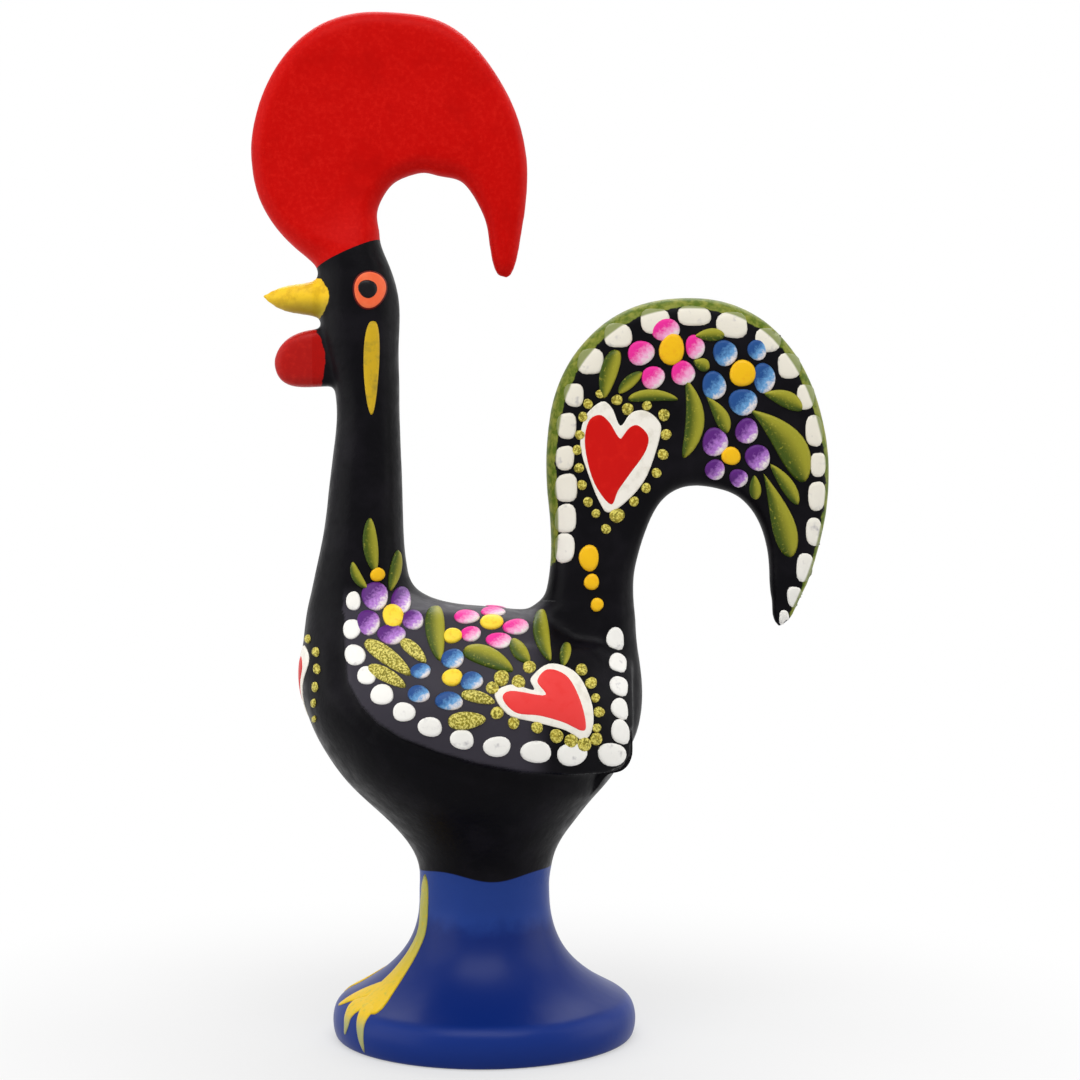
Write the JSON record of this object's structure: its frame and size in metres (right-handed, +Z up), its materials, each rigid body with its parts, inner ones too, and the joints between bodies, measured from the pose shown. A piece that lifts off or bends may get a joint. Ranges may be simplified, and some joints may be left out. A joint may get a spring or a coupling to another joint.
{
  "type": "rooster figurine",
  "caption": "Painted clay rooster figure with a tall neck, a hooked comb and a hooked tail, standing on a round trumpet foot.",
  "frame": {"origin": "centre of the round foot's resting rim, on the floor", "axes": "+Z is up, -X is the way the rooster looks, the tail is at +X, and Y runs through the thickness"},
  "size_m": [0.0866, 0.0452, 0.1529],
  "materials": {
    "blue_enamel": "glossy enamel over fired clay",
    "black_enamel": "glossy enamel over fired clay",
    "red_enamel": "glossy enamel over fired clay",
    "yellow_enamel": "glossy enamel over fired clay"
  },
  "bodies": {
    "root": {"pedestal": "blue_enamel", "left_body_shell": "black_enamel", "right_body_shell": "black_enamel", "comb": "red_enamel", "tail": "black_enamel", "beak": "yellow_enamel", "wattle": "red_enamel", "left_wing": "black_enamel", "right_wing": "black_enamel"}
  },
  "joints": []
}
